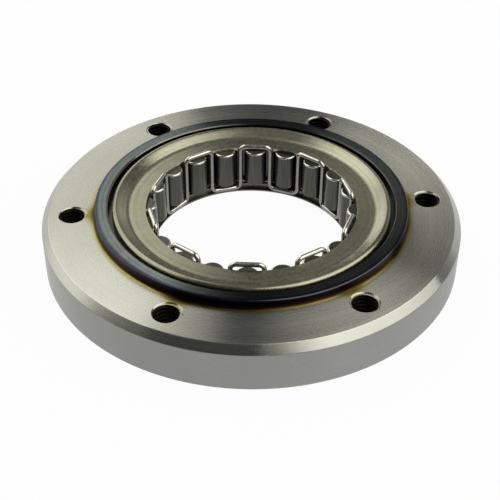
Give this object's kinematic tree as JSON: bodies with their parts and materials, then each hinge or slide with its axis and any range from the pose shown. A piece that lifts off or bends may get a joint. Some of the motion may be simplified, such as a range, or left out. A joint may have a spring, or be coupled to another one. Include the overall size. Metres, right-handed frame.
{
  "type": "starter clutch",
  "caption": "One-way clutch ring with tapped bolt holes and a raised collar, holding a dished cage of sprags and a meander wire spring that grip a hub in one direction.",
  "frame": {"origin": "centre of the ring's back face, on the clutch's axis", "axes": "+Z along the clutch's axis towards the raised collar; -Y is the side nearest the camera in the picture"},
  "size_m": [0.12, 0.12, 0.0173],
  "materials": {
    "ring_steel": "fine-turned hardened steel, heat-tinted round the collar",
    "cage_steel": "pressed sheet steel, satin",
    "spring_wire": "bright drawn spring wire",
    "sprag_steel": "dark ground and polished bearing steel"
  },
  "bodies": {
    "ring": {"outer_ring": "ring_steel"},
    "cage": {"cage": "cage_steel", "meander_spring": "spring_wire"},
    "sprag_01": {"sprag_01": "sprag_steel"},
    "sprag_02": {"sprag_02": "sprag_steel"},
    "sprag_03": {"sprag_03": "sprag_steel"},
    "sprag_04": {"sprag_04": "sprag_steel"},
    "sprag_05": {"sprag_05": "sprag_steel"},
    "sprag_06": {"sprag_06": "sprag_steel"},
    "sprag_07": {"sprag_07": "sprag_steel"},
    "sprag_08": {"sprag_08": "sprag_steel"},
    "sprag_09": {"sprag_09": "sprag_steel"},
    "sprag_10": {"sprag_10": "sprag_steel"},
    "sprag_11": {"sprag_11": "sprag_steel"},
    "sprag_12": {"sprag_12": "sprag_steel"},
    "sprag_13": {"sprag_13": "sprag_steel"},
    "sprag_14": {"sprag_14": "sprag_steel"},
    "sprag_15": {"sprag_15": "sprag_steel"},
    "sprag_16": {"sprag_16": "sprag_steel"},
    "sprag_17": {"sprag_17": "sprag_steel"},
    "sprag_18": {"sprag_18": "sprag_steel"},
    "sprag_19": {"sprag_19": "sprag_steel"},
    "sprag_20": {"sprag_20": "sprag_steel"}
  },
  "joints": [
    {"name": "cage_spin", "type": "hinge", "parent": "ring", "child": "cage", "pos_m": [0, 0, 0.00895], "axis": [0, 0, 1], "continuous": true},
    {"name": "sprag_01_tilt", "type": "hinge", "parent": "cage", "child": "sprag_01", "pos_m": [0.00056, 0.0303, 0.00895], "axis": [0, 0, 1], "range_deg": [0, 8], "stiffness_Nm_per_rad": 0.01, "springref_deg": -11.46},
    {"name": "sprag_02_tilt", "type": "hinge", "parent": "cage", "child": "sprag_02", "pos_m": [-0.00883, 0.02899, 0.00895], "axis": [0, 0, 1], "range_deg": [0, 8], "stiffness_Nm_per_rad": 0.01, "springref_deg": -11.46},
    {"name": "sprag_03_tilt", "type": "hinge", "parent": "cage", "child": "sprag_03", "pos_m": [-0.01736, 0.02484, 0.00895], "axis": [0, 0, 1], "range_deg": [0, 8], "stiffness_Nm_per_rad": 0.01, "springref_deg": -11.46},
    {"name": "sprag_04_tilt", "type": "hinge", "parent": "cage", "child": "sprag_04", "pos_m": [-0.02418, 0.01826, 0.00895], "axis": [0, 0, 1], "range_deg": [0, 8], "stiffness_Nm_per_rad": 0.01, "springref_deg": -11.46},
    {"name": "sprag_05_tilt", "type": "hinge", "parent": "cage", "child": "sprag_05", "pos_m": [-0.02864, 0.00989, 0.00895], "axis": [0, 0, 1], "range_deg": [0, 8], "stiffness_Nm_per_rad": 0.01, "springref_deg": -11.46},
    {"name": "sprag_06_tilt", "type": "hinge", "parent": "cage", "child": "sprag_06", "pos_m": [-0.0303, 0.00056, 0.00895], "axis": [0, 0, 1], "range_deg": [0, 8], "stiffness_Nm_per_rad": 0.01, "springref_deg": -11.46},
    {"name": "sprag_07_tilt", "type": "hinge", "parent": "cage", "child": "sprag_07", "pos_m": [-0.02899, -0.00883, 0.00895], "axis": [0, 0, 1], "range_deg": [0, 8], "stiffness_Nm_per_rad": 0.01, "springref_deg": -11.46},
    {"name": "sprag_08_tilt", "type": "hinge", "parent": "cage", "child": "sprag_08", "pos_m": [-0.02484, -0.01736, 0.00895], "axis": [0, 0, 1], "range_deg": [0, 8], "stiffness_Nm_per_rad": 0.01, "springref_deg": -11.46},
    {"name": "sprag_09_tilt", "type": "hinge", "parent": "cage", "child": "sprag_09", "pos_m": [-0.01826, -0.02418, 0.00895], "axis": [0, 0, 1], "range_deg": [0, 8], "stiffness_Nm_per_rad": 0.01, "springref_deg": -11.46},
    {"name": "sprag_10_tilt", "type": "hinge", "parent": "cage", "child": "sprag_10", "pos_m": [-0.00989, -0.02864, 0.00895], "axis": [0, 0, 1], "range_deg": [0, 8], "stiffness_Nm_per_rad": 0.01, "springref_deg": -11.46},
    {"name": "sprag_11_tilt", "type": "hinge", "parent": "cage", "child": "sprag_11", "pos_m": [-0.00056, -0.0303, 0.00895], "axis": [0, 0, 1], "range_deg": [0, 8], "stiffness_Nm_per_rad": 0.01, "springref_deg": -11.46},
    {"name": "sprag_12_tilt", "type": "hinge", "parent": "cage", "child": "sprag_12", "pos_m": [0.00883, -0.02899, 0.00895], "axis": [0, 0, 1], "range_deg": [0, 8], "stiffness_Nm_per_rad": 0.01, "springref_deg": -11.46},
    {"name": "sprag_13_tilt", "type": "hinge", "parent": "cage", "child": "sprag_13", "pos_m": [0.01736, -0.02484, 0.00895], "axis": [0, 0, 1], "range_deg": [0, 8], "stiffness_Nm_per_rad": 0.01, "springref_deg": -11.46},
    {"name": "sprag_14_tilt", "type": "hinge", "parent": "cage", "child": "sprag_14", "pos_m": [0.02418, -0.01826, 0.00895], "axis": [0, 0, 1], "range_deg": [0, 8], "stiffness_Nm_per_rad": 0.01, "springref_deg": -11.46},
    {"name": "sprag_15_tilt", "type": "hinge", "parent": "cage", "child": "sprag_15", "pos_m": [0.02864, -0.00989, 0.00895], "axis": [0, 0, 1], "range_deg": [0, 8], "stiffness_Nm_per_rad": 0.01, "springref_deg": -11.46},
    {"name": "sprag_16_tilt", "type": "hinge", "parent": "cage", "child": "sprag_16", "pos_m": [0.0303, -0.00056, 0.00895], "axis": [0, 0, 1], "range_deg": [0, 8], "stiffness_Nm_per_rad": 0.01, "springref_deg": -11.46},
    {"name": "sprag_17_tilt", "type": "hinge", "parent": "cage", "child": "sprag_17", "pos_m": [0.02899, 0.00883, 0.00895], "axis": [0, 0, 1], "range_deg": [0, 8], "stiffness_Nm_per_rad": 0.01, "springref_deg": -11.46},
    {"name": "sprag_18_tilt", "type": "hinge", "parent": "cage", "child": "sprag_18", "pos_m": [0.02484, 0.01736, 0.00895], "axis": [0, 0, 1], "range_deg": [0, 8], "stiffness_Nm_per_rad": 0.01, "springref_deg": -11.46},
    {"name": "sprag_19_tilt", "type": "hinge", "parent": "cage", "child": "sprag_19", "pos_m": [0.01826, 0.02418, 0.00895], "axis": [0, 0, 1], "range_deg": [0, 8], "stiffness_Nm_per_rad": 0.01, "springref_deg": -11.46},
    {"name": "sprag_20_tilt", "type": "hinge", "parent": "cage", "child": "sprag_20", "pos_m": [0.00989, 0.02864, 0.00895], "axis": [0, 0, 1], "range_deg": [0, 8], "stiffness_Nm_per_rad": 0.01, "springref_deg": -11.46}
  ],
  "couplings": [
    {"joint": "sprag_02_tilt", "follows": "sprag_01_tilt", "ratio": 1},
    {"joint": "sprag_03_tilt", "follows": "sprag_01_tilt", "ratio": 1},
    {"joint": "sprag_04_tilt", "follows": "sprag_01_tilt", "ratio": 1},
    {"joint": "sprag_05_tilt", "follows": "sprag_01_tilt", "ratio": 1},
    {"joint": "sprag_06_tilt", "follows": "sprag_01_tilt", "ratio": 1},
    {"joint": "sprag_07_tilt", "follows": "sprag_01_tilt", "ratio": 1},
    {"joint": "sprag_08_tilt", "follows": "sprag_01_tilt", "ratio": 1},
    {"joint": "sprag_09_tilt", "follows": "sprag_01_tilt", "ratio": 1},
    {"joint": "sprag_10_tilt", "follows": "sprag_01_tilt", "ratio": 1},
    {"joint": "sprag_11_tilt", "follows": "sprag_01_tilt", "ratio": 1},
    {"joint": "sprag_12_tilt", "follows": "sprag_01_tilt", "ratio": 1},
    {"joint": "sprag_13_tilt", "follows": "sprag_01_tilt", "ratio": 1},
    {"joint": "sprag_14_tilt", "follows": "sprag_01_tilt", "ratio": 1},
    {"joint": "sprag_15_tilt", "follows": "sprag_01_tilt", "ratio": 1},
    {"joint": "sprag_16_tilt", "follows": "sprag_01_tilt", "ratio": 1},
    {"joint": "sprag_17_tilt", "follows": "sprag_01_tilt", "ratio": 1},
    {"joint": "sprag_18_tilt", "follows": "sprag_01_tilt", "ratio": 1},
    {"joint": "sprag_19_tilt", "follows": "sprag_01_tilt", "ratio": 1},
    {"joint": "sprag_20_tilt", "follows": "sprag_01_tilt", "ratio": 1}
  ]
}
